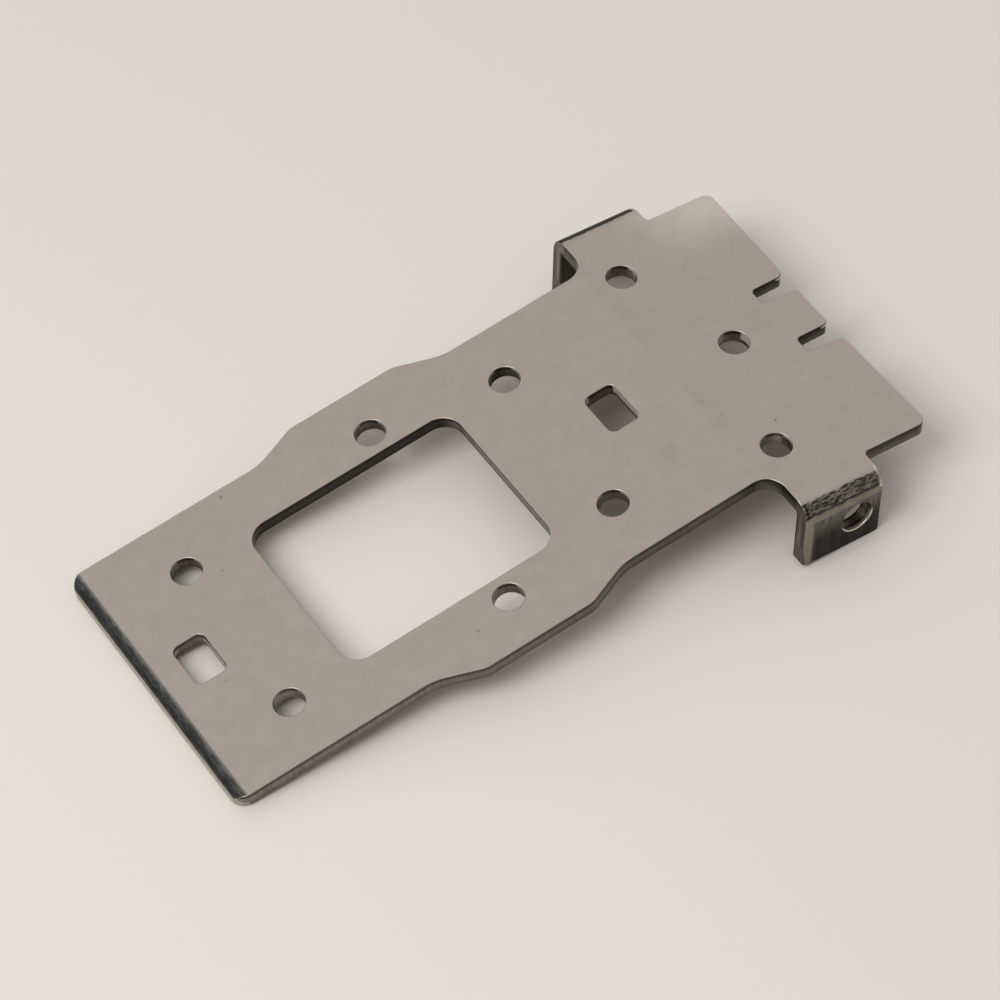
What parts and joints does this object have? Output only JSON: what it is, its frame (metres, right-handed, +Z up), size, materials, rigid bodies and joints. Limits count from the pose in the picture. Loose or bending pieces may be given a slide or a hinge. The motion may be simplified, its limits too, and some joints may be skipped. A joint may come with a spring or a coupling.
{
  "type": "chassis brace",
  "caption": "Pressed steel brace: body plate with a window, bolt holes and square locating holes, and a folded head with side flanges and a slotted tab end.",
  "frame": {"origin": "on the floor that the brace stands on, below the middle of its length and width", "axes": "+X from the short end to the head, +Y to the left flange, +Z up"},
  "size_m": [0.1562, 0.089, 0.0175],
  "materials": {
    "zinc_plate": "satin bright zinc plate"
  },
  "bodies": {
    "root": {"brace": "zinc_plate"}
  },
  "joints": []
}
